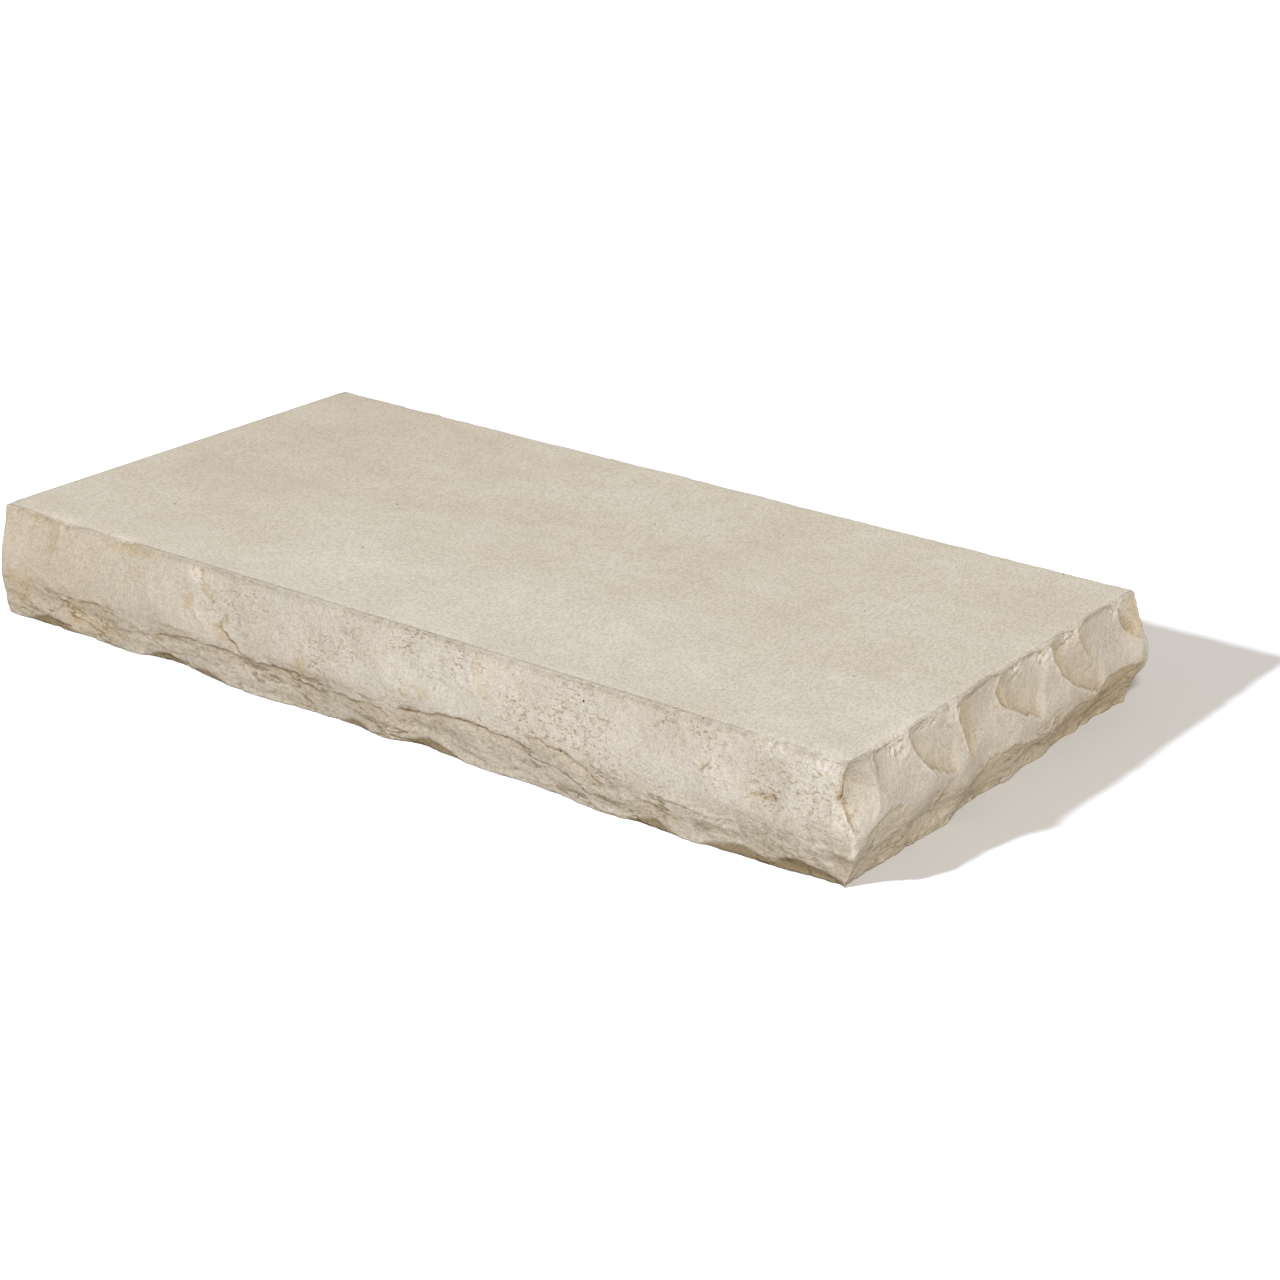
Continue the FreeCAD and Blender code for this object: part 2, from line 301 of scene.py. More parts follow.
END_CRACKS = [
    ([(-159, 36), (-161, 45), (-161, 54), (-159, 62), (-154, 69)], 5.0, 14),
    ([(-129, 51), (-134, 61), (-134, 70)], 1.6, 12),
    ([(-54, 31), (-66, 34), (-85, 44), (-92, 53), (-97, 64), (-96, 70)], 1.8, 14),
    ([(-40, 32), (-45, 46), (-51, 60), (-51, 70)], 3.4, 26),
    ([(39, 30), (30, 34), (13, 42), (0, 49), (-5, 57), (-1, 69)], 2.8, 22),
    ([(109, 23), (93, 29), (78, 36), (63, 47), (55, 60), (57, 69)], 3.0, 20),
    ([(103, 41), (93, 53), (85, 66), (85, 70)], 1.2, 12),
    ([(161, 38), (144, 48), (136, 59), (137, 70)], 1.4, 12),
    ([(106, 26), (119, 30), (132, 29), (152, 27), (161, 26)], 0.9, 7),
    ([(-76, 12), (-76, 19), (-70, 26), (-66, 30), (-60, 32)], 0.8, 7),
    ([(41, 8), (43, 15), (51, 25), (63, 28)], 1.2, 10),
    ([(-36, 20), (-18, 26), (6, 25), (37, 19)], 0.9, 7),
    ([(-151, 28), (-127, 37), (-108, 34)], 0.9, 7),
    ([(-118, 26), (-110, 31), (-106, 34)], 0.6, 5),
]
CRACK_TAPER = 8.0  # a crack fades out over this length at both ends
CRACK_WAVER = 1.1  # how far a crack wavers to either side of its line
CRACK_RISE = (-0.5, 0.9)  # the step begins and ends this far to the right of the line
LIP_PLACE, LIP_WIDTH, LIP_HEIGHT = -1.7, 1.2, 0.28  # the edge left of a crack stands out a little
END_SINKING = 0.6  # the share of a step that sinks slowly on the closed end, as in a chisel mark
SINK = 0.35  # where such a hollow is deepest, as a share of its reach

# How dark a crack's line and the painted shade beside it are: the least, more for each millimetre of depth,
# the most.
SEAM_PLACE, SEAM_WIDTH = 0.4, 1.8
SEAM_LEAST, SEAM_BY_DEPTH, SEAM_MOST, SEAM_SINK_LOST = 0.5, 0.4, 1.1, 0.5
SEAM_IN_BREAKS = 0.45  # how dark the line still is in its breaks
SHADE_RISE, SHADE_BY_REACH, SHADE_REACH = (-1, 1), 0.4, 1.5
SHADE_LEAST, SHADE_BY_DEPTH, SHADE_MOST = 0.4, 0.4, 0.9


def beside(points, along, up):
    """How far each place lies from a line of points, more than 0 to the right of its travel, and how strong
    the line is there."""
    nearest = np.full(along.shape, np.inf)
    distance = np.zeros(along.shape)
    travelled = np.zeros(along.shape)
    length = 0.0
    for start, end in zip(points[:-1], points[1:]):
        run_along, run_up = end[0] - start[0], end[1] - start[1]
        run = math.hypot(run_along, run_up)
        from_along, from_up = along - start[0], up - start[1]
        share = np.clip((from_along * run_along + from_up * run_up) / run ** 2, 0, 1)
        away = np.hypot(from_along - share * run_along, from_up - share * run_up)
        to_right = np.sign(from_along * run_up - from_up * run_along)
        closer = away < nearest
        nearest = np.where(closer, away, nearest)
        distance = np.where(closer, away * to_right, distance)
        travelled = np.where(closer, length + share * run, travelled)
        length += run
    strength = smooth(np.minimum(travelled, length - travelled), 0, min(CRACK_TAPER, length / 2))
    return distance, strength


def cracked(grid, cracks, along, side_share, sinking):
    """How far the cracks of one side press each point in, how dark their lines make it, and how much shade
    is painted beside them, where the face is set back."""
    waver = CRACK_WAVER * noise_field(grid, "crack_waver")
    unbroken = at_least(SEAM_IN_BREAKS, patches(grid, "crack_breaks"))
    pressed, seam, shade = (np.zeros(along.shape) for _ in range(3))
    for points, depth, reach in cracks:
        distance, strength = beside(points, along, grid[..., 2])
        distance = distance + waver
        strength = strength * side_share
        past = np.maximum(distance, 0)
        step = smooth(distance, *CRACK_RISE) * np.exp(-past / reach)
        sunk = past / (SINK * reach) * np.exp(1 - past / (SINK * reach))
        lip = LIP_HEIGHT * np.exp(-((distance - LIP_PLACE) / LIP_WIDTH) ** 2)
        pressed += strength * (depth * ((1 - sinking) * step + sinking * sunk) - lip)
        line = np.exp(-((distance - SEAM_PLACE) / SEAM_WIDTH) ** 2) * strength * unbroken
        darkest = min(SEAM_LEAST + SEAM_BY_DEPTH * depth, SEAM_MOST - SEAM_SINK_LOST * sinking)
        seam = np.maximum(seam, line * darkest)
        # Painted shade beside the crack, where the face is set back under its step.
        beyond = smooth(distance, *SHADE_RISE) * np.exp(-past / (SHADE_BY_REACH * reach + SHADE_REACH))
        deepest_shade = min(SHADE_LEAST + SHADE_BY_DEPTH * depth, SHADE_MOST)
        shade = np.maximum(shade, strength * beyond * deepest_shade)
    return pressed, seam, shade


# The broken rock

LOWER_Z = (18, 36)  # the lower band, where the stone broke in layers, ends between these heights
RELIEF_LIFT = 0.8  # added to the waves before those that would stand out are cut off
END_RELIEF_LOST = 0.2  # the share lost on the closed end

# Depths of the waves, and how much deeper they are in the lower band.
BROAD_DEPTH = 0.6
MIDDLE_DEPTH, MIDDLE_LOW_DEPTH = 0.25, 0.25
FINE_DEPTH, FINE_LOW_DEPTH = 0.2, 0.16

# Plates and layers: treads for each unit of noise, the riser's share of a tread, the depth, how strongly the
# risers mark the stone, and the shares lost on the closed end and in the lower band.
PLATE_TREADS, PLATE_RISER, PLATE_DEPTH, PLATE_MARK = 4, 0.14, 0.6, 0.2
PLATE_END_LOST, PLATE_LOW_LOST = 0.6, 0.6
LAYER_TREADS, LAYER_RISER, LAYER_DEPTH, LAYER_MARK = 5, 0.25, 1.9, 0.5
LAYER_END_LOST = 0.15


def stepped(field, treads, riser):
    """A field turned into flat treads, each with a short riser up to the next, and where the risers are."""
    scaled = field * treads
    tread = np.floor(scaled)
    rise = smooth(scaled - tread, 1 - riser, 1)
    return (tread + rise) / treads, 4 * rise * (1 - rise)


def rock_relief(grid):
    """How far the rock face is pressed in at each point, and how strongly its small steps mark it."""
    lower = 1 - smooth(grid[..., 2], *LOWER_Z)
    on_end = end_share(grid)
    plates, plate_edges = stepped(noise_field(grid, "plates"), PLATE_TREADS, PLATE_RISER)
    layers, layer_edges = stepped(noise_field(grid, "layers"), LAYER_TREADS, LAYER_RISER)
    plate_share = (1 - PLATE_END_LOST * on_end) * (1 - PLATE_LOW_LOST * lower)
    layer_share = lower * (1 - LAYER_END_LOST * on_end)
    relief = BROAD_DEPTH * noise_field(grid, "broad")
    relief += (MIDDLE_DEPTH + MIDDLE_LOW_DEPTH * lower) * noise_field(grid, "middle")
    relief += (FINE_DEPTH + FINE_LOW_DEPTH * lower) * noise_field(grid, "fine")
    relief += PLATE_DEPTH * plates * plate_share + LAYER_DEPTH * layers * layer_share
    marked = np.maximum(PLATE_MARK * plate_edges * plate_share, LAYER_MARK * layer_edges * layer_share)
    return np.maximum(relief + RELIEF_LIFT, 0) * (1 - END_RELIEF_LOST * on_end), marked


# The worn top edge

# The edge has worn down all round, more on the closed end, and most at the front's two ends.
WEAR_DEPTH = 1.8
WEAR_SHARE, FRONT_ENDS_WEAR, END_WEAR = 0.18, 0.6, 0.22
FRONT_WEAR_Y = (FRONT_Y + 40, FRONT_Y + 90)
LEFT_WEAR_X, LEFT_WEAR_END_X, RIGHT_WEAR_X = (BUTT_X, BUTT_X + 25), (-215, -150), (185, 250)
WEAR_Z = (TOP_Z - 9, TOP_Z)
WEAR_SET_BACK = 1.2  # the edge is set back by this much of the wear

# Nicks: their depth, the noise level below which there are none, and where there are more of them.
NICK_DEPTH, NICK_LEVEL, NICK_Z = 2.4, 0.1, (TOP_Z - 7, TOP_Z - 1)
NICK_SHARE, MORE_NICKS = 0.3, 0.5
NICKED_LEFT_X, NICKED_RIGHT_X = (-190, -150), (170, 215)
NICKED_BACK_X, NICKED_BACK_Y = (120, 200), (100, 120)

# The facet off the closed end's back corner: the way it faces, in degrees from +X, and at each height how far
# out that way it lies from the middle of the base.
FACET_TURN = 50
FACET = [(38, 323), (42, 320), (46, 317.5), (54, 315), (60, 313), (70, 310.2)]
FACET_WAVE = 0.8


def arris_wear(x, y):
    """How far the rock-faced top edge has worn down near a place."""
    places = np.stack([x, y, np.zeros(np.shape(x))], axis=-1)
    on_front = 1 - smooth(y, *FRONT_WEAR_Y)
    left_end = smooth(x, *LEFT_WEAR_X) * (1 - smooth(x, *LEFT_WEAR_END_X))
    front_ends = np.maximum(left_end, smooth(x, *RIGHT_WEAR_X)) * on_front
    share = WEAR_SHARE + FRONT_ENDS_WEAR * front_ends + END_WEAR * smooth(x, *NEAR_END_X)
    return WEAR_DEPTH * share * (0.5 + 0.5 * noise_field(places, "wear"))


def arris_nicks(grid):
    """Small chips out of the worn top edge, more of them on the closed end and towards the front's ends."""
    x, y, z = np.moveaxis(grid, -1, 0)
    front_ends = np.maximum(1 - smooth(x, *NICKED_LEFT_X), smooth(x, *NICKED_RIGHT_X))
    back_right = smooth(y, *NICKED_BACK_Y) * smooth(x, *NICKED_BACK_X)
    share = np.maximum(NICK_SHARE + MORE_NICKS * front_ends, np.maximum(end_share(grid), back_right))
    nick = np.maximum(noise_field(grid, "nicks") - NICK_LEVEL, 0)
    return NICK_DEPTH * nick * share * smooth(z, *NICK_Z)


def corner_cut(grid):
    """How far the facet off the closed end's back corner cuts into each point, and its direction."""
    turn = math.radians(FACET_TURN)
    outwards = np.array((math.cos(turn), math.sin(turn), 0))
    reach = (grid * outwards).sum(axis=2) + FACET_WAVE * noise_field(grid, "facet")
    heights, reaches = np.array(FACET).T
    return np.maximum(reach - np.interp(grid[..., 2], heights, reaches), 0) * (grid[..., 1] > 0), outwards


# The chipped bottom edge

# Chips out of the front's bottom edge: where each starts and ends along it, and how high it reaches.
BASE_CHIPS = [(-300, -236, 7), (-200, -150, 5.5), (-166, -112, 4.5), (-50, -4, 4.5), (-4, 60, 6.5),
              (156, 204, 5), (200, 270, 6.5), (240, 303, 10)]
CHIP_DEPTH = 1.4
CHIP_RISE, CHIP_FALL = (0, 0.55), (0.4, 1)  # as shares of a chip's length
CHIP_PEAK = 0.82  # their product is divided by this, which makes it about 1 at its highest
CHIP_EDGE = (-1.0, 3.0)  # a chip deepens over these distances below its upper edge
CHIP_TIPS = (0, 0.3)  # a chip fades out where it is lower than this share of its height
FRONT_LIMIT_Y = FRONT_Y + 40

# Bites all round: their depth, a number added to the noise, and how far up they reach.
BITE_DEPTH, BITE_LEVEL, BITE_Z = 2.4, 0.05, (1.5, 7)
BITE_SHARE = 0.6  # their share off the closed end


def chipped_base(grid):
    """The bottom edge: how far its chips and small bites press it in, and how plainly the chips show, which
    also sets their stain and the painted shade of their undersides.
    """
    x, z = grid[..., 0], grid[..., 2]
    on_front = grid[..., 1] < FRONT_LIMIT_Y
    ragged = noise_field(grid, "chips")
    chips = np.zeros(x.shape)
    for start, end, height in BASE_CHIPS:
        across = np.clip((x - start) / (end - start), 0, 1)
        arch = smooth(across, *CHIP_RISE) * (1 - smooth(across, *CHIP_FALL)) / CHIP_PEAK
        chip = smooth(height * arch + ragged - z, *CHIP_EDGE) * smooth(arch, *CHIP_TIPS)
        chips = np.maximum(chips, chip * on_front)
    bites = np.maximum(noise_field(grid, "bites") + BITE_LEVEL, 0)
    bites *= (1 - smooth(z, *BITE_Z)) * at_least(BITE_SHARE, end_share(grid))
    return CHIP_DEPTH * chips + BITE_DEPTH * bites, chips


# Marks on the stone

# Brown smudges, of which some on the closed end are painted shade, and dark painted shade: the place along
# the side, the height, and how far each reaches along and up.
FRONT_SMUDGES = [(-273, 68, 11, 4), (-200, 66, 20, 4.5), (-149, 47, 4, 6), (-120, 36, 6, 5), (-61, 30, 7, 5),
                 (-227, 11, 24, 9), (-292, 20, 13, 11), (-263, 58, 4, 9), (20, 36, 12, 5)]
# On the closed end, the smudges in its first hollow, right of its ridge and on the back corner's facet, which
# faces away from the light, are painted shade.
END_SMUDGES_AND_SHADE = [(-160, 57, 6, 14), (-38, 48, 9, 16), (5, 56, 8, 10), (66, 56, 7, 12), (152, 58, 9, 15),
               (149, 20, 18, 9)]
# Painted shade on the dark wall of the closed end's first hollow.
END_PAINTED_SHADE = [(-157, 55, 5, 13)]
END_SMUDGE_AND_SHADE_SHARE, END_PAINTED_SHADE_SHARE = 0.7, 0.6

# Crumbling spots: the place along the side, the height and the reach of each.
END_CRUMBS = [(-163, 41, 13), (-109, 64, 13), (-77, 66, 8), (-51, 62, 10), (18, 66, 8), (46, 64, 10),
              (82, 66, 10), (132, 66, 8)]
FRONT_CRUMBS = [(284, 66, 9), (250, 70, 8), (-146, 64, 6)]
CRUMB_FLATNESS = 1.3  # how many times longer a spot is than high
CRUMB_DEPTH, CRUMB_LEVEL = 2.2, 0.15  # depth of its grains, and a number added to their noise

# The line of painted shade under the top edge: how plain in its breaks, how much more between them, and the
# share of it near the butt end.
LINE_DROP, LINE_WIDTH = 1.3, 1.3
LINE_BROKEN, LINE_UNBROKEN = 0.12, 0.26
LINE_AT_BUTT, LINE_X = 0.4, (-230, -150)

# The stain low down on the closed end's far part.
FAR_STAIN, FAR_STAIN_Y, FAR_STAIN_Z = 0.3, (70, 140), (14, 30)

# Pale stone: patches of the upper face, the front's one raised plate, and the front's right.
PALE_Z, PALE_PATCHES = (26, 44), 0.15
PLATE_X, PLATE_Z, PALE_PLATE = ((54, 62), (92, 100)), (44, 52), 0.2
PALE_RIGHT, PALE_RIGHT_X = 0.2, (-80, 90)

# Pits: shares outside their clusters, towards the butt end and low down, and share lost on the closed end.
PITS_OUTSIDE, PITS_LEFT, PITS_LOW, PITS_END_LOST = 0.25, 0.45, 0.6, 0.5
PITTED_X, PITTED_Z = (-190, -60), (20, 36)

# Layers: how plainly they show outside and inside their patches, and shares lost on the closed end and back.
LAYERED_Z, LAYERED_BACK_Y = (20, 34), (110, 140)
LAYERS_OUTSIDE, LAYERS_INSIDE, LAYERS_END_LOST, LAYERS_BACK_LOST = 0.3, 0.6, 0.35, 0.7

# Dust and painted shade low down, more in patches and on the closed end, and all over that end; dust alone
# low on its far part, and towards the front's left, more in patches, with a share lost low down.
LOW_DUST_AND_SHADE_Z, LOW_DUST_AND_SHADE, LOW_DUST_AND_SHADE_PATCHES, LOW_END_DUST_AND_SHADE = (4, 34), 0.05, 0.2, 0.35
END_DUST_AND_SHADE, DUST_FAR_END, DUST_FAR_END_Y = 0.2, 1.8, (40, 140)
DUST_LEFT, DUST_LEFT_PATCHES, DUST_LEFT_LOW_LOST, DUST_LEFT_X = 0.25, 0.5, 0.6, (-290, -90)
BUTT_GRIME = 0.12


def smudged(grid, spots, along, side_share):
    """How much the smudges of one side mark each point."""
    amount = np.zeros(along.shape)
    ragged = patches(grid, "smudges")
    for place, height, reach_along, reach_up in spots:
        away = np.hypot((along - place) / reach_along, (grid[..., 2] - height) / reach_up)
        amount = np.maximum(amount, np.exp(-away ** 4) * ragged)
    return amount * side_share


def crumbling(grid, spots, along, side_share):
    """How much each point crumbles."""
    amount = np.zeros(along.shape)
    for place, height, reach in spots:
        away = np.hypot(along - place, (grid[..., 2] - height) * CRUMB_FLATNESS)
        amount = np.maximum(amount, np.exp(-(away / reach) ** 2))
    return amount * side_share


def arris_shade_line(grid):
    """A thin brown line of painted shade under the top edge, broken here and there."""
    below = TOP_Z - grid[..., 2]
    line = np.exp(-((below - LINE_DROP) / LINE_WIDTH) ** 2)
    unbroken = LINE_BROKEN + LINE_UNBROKEN * patches(grid, "arris_breaks")
    plain = at_least(LINE_AT_BUTT, smooth(grid[..., 0], *LINE_X))
    return line * unbroken * plain


def stained_and_shaded_on(grid, *marks):
    """How dark each point is, by stains and painted shade: by the marks, under the top edge, and in places of
    the closed end.
    """
    y, z = grid[..., 1], grid[..., 2]
    on_end = end_share(grid)
    far_low = FAR_STAIN * on_end * smooth(y, *FAR_STAIN_Y) * (1 - smooth(z, *FAR_STAIN_Z))
    end_painted_shade = END_PAINTED_SHADE_SHARE * smudged(grid, END_PAINTED_SHADE, y, on_end)
    return np.maximum.reduce([*marks, arris_shade_line(grid), far_low, end_painted_shade])


def pale_on(grid, crumbs):
    """How pale each point is, also where the stone crumbles."""
    x, z = grid[..., 0], grid[..., 2]
    on_front = grid[..., 1] < 0
    upper_patches = patches(grid, "pale") * smooth(z, *PALE_Z)
    plate = smooth(x, *PLATE_X[0]) * (1 - smooth(x, *PLATE_X[1])) * smooth(z, *PLATE_Z) * on_front
    right = PALE_RIGHT * on_front * smooth(x, *PALE_RIGHT_X) * (1 - end_share(grid))
    return np.clip(crumbs + PALE_PATCHES * upper_patches + PALE_PLATE * plate + right, 0, 1)


def pitted_on(grid):
    """How crowded the pits are: most of all in clusters on the upper front's right two-thirds."""
    clusters = at_least(PITS_OUTSIDE, patches(grid, "pits"))
    right = at_least(PITS_LEFT, smooth(grid[..., 0], *PITTED_X))
    upper = at_least(PITS_LOW, smooth(grid[..., 2], *PITTED_Z))
    return clusters * right * (1 - PITS_END_LOST * end_share(grid)) * upper


def layered_on(grid):
    """How plainly the stone's layers show: low down, in patches."""
    low = 1 - smooth(grid[..., 2], *LAYERED_Z)
    patchy = LAYERS_OUTSIDE + LAYERS_INSIDE * patches(grid, "layered")
    on_end = end_share(grid)
    on_back = smooth(grid[..., 1], *LAYERED_BACK_Y) * (1 - on_end)
    return low * patchy * (1 - LAYERS_END_LOST * on_end) * (1 - LAYERS_BACK_LOST * on_back)


def dust_and_shade_on(grid):
    """How much brown dust and painted shade each point of the sides has; the shade lies low down and on the
    closed end.
    """
    x, y, z = np.moveaxis(grid, -1, 0)
    on_end = end_share(grid)
    low = 1 - smooth(z, *LOW_DUST_AND_SHADE_Z)
    left = 1 - smooth(x, *DUST_LEFT_X)
    far_end = on_end * smooth(y, *DUST_FAR_END_Y)
    patchy = 0.5 + 0.5 * noise_field(grid, "dust")
    dust_and_shade_share = low * (LOW_DUST_AND_SHADE + LOW_DUST_AND_SHADE_PATCHES * patchy + LOW_END_DUST_AND_SHADE * on_end)
    dust_and_shade_share += DUST_FAR_END * far_end * low + END_DUST_AND_SHADE * on_end
    dust_and_shade_share += left * (DUST_LEFT + DUST_LEFT_PATCHES * patchy) * (1 - DUST_LEFT_LOW_LOST * low)
    return np.clip(dust_and_shade_share, 0, 1)


# The sides with all of this

CALM_DEPTH, CALM_SHARE = 5, 0.3  # the relief fades to this share over this depth, up to the top edge
CORNER_CALM = 0.9  # the back corner, which the facet cuts, loses this share of it
HOLLOW_ROWS, HOLLOW_COLUMNS = 1, 2  # how far round a point its hollowness is measured
HOLLOW_DROP = (0.5, 4)  # the painted shade of hollows and highlight of ridges show fully only this far under the top edge


def press_sides(grid):
    """The sides with their fine relief, and what the material needs to know of each point of them."""
    grid = softened(grid)
    normals = grid_normals(blurred(grid, 1, 1))
    x, y, z = np.moveaxis(grid, -1, 0)
    on_end = end_share(grid)
    on_front = (1 - on_end) * (y < 0)
    relief, edge_marks = rock_relief(grid)
    front_pressed, front_seam, front_shade = cracked(grid, FRONT_CRACKS, x, on_front, 0.0)
    end_pressed, end_seam, end_shade = cracked(grid, END_CRACKS, y, on_end, END_SINKING)
    chip_pressed, chips = chipped_base(grid)
    smudges = smudged(grid, FRONT_SMUDGES, x, on_front)
    smudges += END_SMUDGE_AND_SHADE_SHARE * smudged(grid, END_SMUDGES_AND_SHADE, y, on_end)
    crumbs = crumbling(grid, END_CRUMBS, y, on_end) + crumbling(grid, FRONT_CRUMBS, x, on_front)
    crumb_grains = np.maximum(noise_field(grid, "crumbs") + CRUMB_LEVEL, 0)
    wear = arris_wear(x, y) * smooth(z, *WEAR_Z)

    calm = at_least(CALM_SHARE, smooth(TOP_Z - z, 0, CALM_DEPTH))
    pressed = (relief + front_pressed + end_pressed) * calm + CRUMB_DEPTH * crumbs * crumb_grains
    pressed += arris_nicks(grid) + chip_pressed + WEAR_SET_BACK * wear
    pressed *= 1 - CORNER_CALM * corner_share(grid) * (y > 0)
    result = grid - normals * pressed[..., None]
    facet, outwards = corner_cut(result)
    result -= outwards * facet[..., None]
    result[..., 2] -= wear
    result[0, :, 2] = 0
    result[..., 2] = np.clip(result[..., 2], 0, TOP_Z)
    result[:, 0, 0] = BUTT_X
    result[:, -1, 0] = BUTT_X

    # How hollow each point is: the material paints shade into hollows and a highlight onto ridges by it.
    hollow = hollowness(result, normals) * smooth(TOP_Z - z, *HOLLOW_DROP)
    skin = {"hollow": hollow,
            # stains, with painted shade in the base's chips, under the top edge and in the closed end's first
            # hollow
            "stain_and_shade": stained_and_shaded_on(grid, edge_marks, chips),
            "seam": front_seam + end_seam,
            "pale": pale_on(grid, crumbs),
            # dust, with painted shade low down, on the closed end, beside the cracks and in some smudges of
            # that end
            "dust_and_shade": np.clip(dust_and_shade_on(grid) + front_shade + end_shade + smudges, 0, 1),
            "layered": layered_on(grid),
            "pitted": pitted_on(grid),
            "rock": np.ones(grid.shape[:2])}
    return result, skin


def hollowness(grid, normals):
    """How far each point lies below the average of its surroundings."""
    return ((blurred(grid, HOLLOW_ROWS, HOLLOW_COLUMNS) - grid) * normals).sum(axis=2)


def butt_patch(sides):
    """The plain end's columns, ruled between the back corner and the front corner."""
    start, end = sides[:, -1], sides[:, 0]
    count = round((BACK_Y - FRONT_Y) / BUTT_STEP)
    shares = np.arange(1, count) / count
    patch = start[:, None] * (1 - shares[None, :, None]) + end[:, None] * shares[None, :, None]
    patch[..., 2] = row_heights()[:, None]
    return patch


# The top and the base

TOP_RINGS = ((1.3, 1), (2.8, 1), (4.6, 2), (7.0, 3), (10.5, 4))  # inset of each ring, and columns per point
TOP_STEP = 6.0
EDGE_STEP, LEAST_EDGE_STEP = 1.3, 2.5  # spacing along the butt end's edge for each column, and at least
RING_END_SHARE = 0.8  # a ring ends at this share of its inset from the butt end
RIM_INSET = 11.0  # the top's rim is about this far inside the box
WEAR_REACH = 9.0  # the top slopes down to its worn rim over this distance
TOP_SWELL = 0.35  # the top's slow waves, which only sink below its highest level
SWELL_REACH = 20.0  # they die out over this distance from its edges

# The top is duller and browner towards the back and towards the butt end, by so much between two places.
BACK_DULL, BACK_DULL_Y = 0.48, (-110, 20)
BUTT_DULL, BUTT_DULL_X = 0.4, (0, 240)

BASE_INSET = 4.0  # the marks of the sides end this far inside the base's rim
BASE_STEP = 20.0
BASE_STRIDE = 3  # columns for each point along there

TOLERANCE = 1e-5  # points of an outline closer than this are one
FLAT_NORMAL = -0.999  # beyond this along X or Z, a face's normal is the butt end's or the base's


def top_points(rim, facing):
    """Points of the top inside its rim: rings close to the edge, then an even field."""
    points = []
    low, high = rim.min(axis=0), rim.max(axis=0)
    deepest = TOP_RINGS[-1][0]
    for inset, stride in TOP_RINGS:
        ring = rim[::stride] - facing[::stride] * inset
        points += [tuple(p) for p in ring[ring[:, 0] > BUTT_X + inset * RING_END_SHARE]]
        step = max(EDGE_STEP * stride, LEAST_EDGE_STEP)
        points += [(BUTT_X + inset, y) for y in np.arange(low[1] + deepest, high[1] - deepest, step)]
    x_values = np.arange(BUTT_X + deepest + TOP_STEP, high[0] - deepest - TOP_STEP, TOP_STEP)
    y_values = np.arange(low[1] + deepest + TOP_STEP, high[1] - deepest - TOP_STEP, TOP_STEP)
    for number, x in enumerate(x_values):
        shift = TOP_STEP / 2 * (number % 2)
        points += [(x, y + shift) for y in y_values]
    return points


def top_height(x, y):
    """The top's height: nearly flat, with slow waves that die out at its edges, and worn down at its rim."""
    from_rim = min(TIP_X - x, BACK_Y - y, y - FRONT_Y) - RIM_INSET
    from_edge = min(from_rim, x - BUTT_X)
    wave = float(noise_field(np.array((x, y, 0.0)), "swell"))
    swell = TOP_SWELL * (1 + wave) * float(smooth(from_edge, 0, SWELL_REACH))
    worn = float(arris_wear(np.array(x), np.array(y))) * float(1 - smooth(from_rim, 0, WEAR_REACH))
    return TOP_Z - swell - worn


def top_dullness(x, y):
    """How dull and brown the top is."""
    return float(BACK_DULL * smooth(y, *BACK_DULL_Y) + BUTT_DULL * smooth(-x, *BUTT_DULL_X))


def base_points(rim, facing):
    """Points of the base just inside its rim, where the marks of the sides end, and a wide field of them."""
    ring = rim[::BASE_STRIDE] - facing[::BASE_STRIDE] * BASE_INSET
    points = [tuple(p) for p in ring[ring[:, 0] > BUTT_X + BASE_INSET]]
    low, high = rim.min(axis=0) + 2 * BASE_INSET, rim.max(axis=0) - 2 * BASE_INSET
    points += [(BUTT_X + BASE_INSET, y) for y in np.arange(low[1], high[1], BUTT_STEP)]
    low, high = low + BASE_INSET, high - BASE_STEP
    return points + [(x, y) for x in np.arange(low[0], high[0], BASE_STEP)
                     for y in np.arange(low[1] + BASE_INSET, high[1], BASE_STEP)]


def filled(rim, inner):
    """Points and triangles over a flat outline, and the number that each point had in the rim and then in the
    inner points."""
    flat = [Vector(p) for p in rim] + [Vector(p) for p in inner]
    loop = [(i, (i + 1) % len(rim)) for i in range(len(rim))]
    places, _, faces, originals, _, _ = delaunay_2d_cdt(flat, loop, [], 1, TOLERANCE)
    return places, faces, originals


def add_cap(vertices, values, faces, rim, inner, first_rim, height, downwards=False):
    """Adds the top or the base to the skin. Its rim is already there, from the vertex first_rim on. The
    height of the rest is a function of x and y, and its values are 0."""
    places, triangles, originals = filled(rim, inner)
    index = {}
    for number, (place, source) in enumerate(zip(places, originals)):
        if source and source[0] < len(rim):
            index[number] = first_rim + source[0]
        else:
            index[number] = len(vertices)
            vertices.append(np.array((place.x, place.y, height(place.x, place.y))))
            for field in values.values():
                field.append(0.0)
    for triangle in triangles:
        corners = tuple(index[i] for i in triangle)
        faces.append(corners[::-1] if downwards else corners)


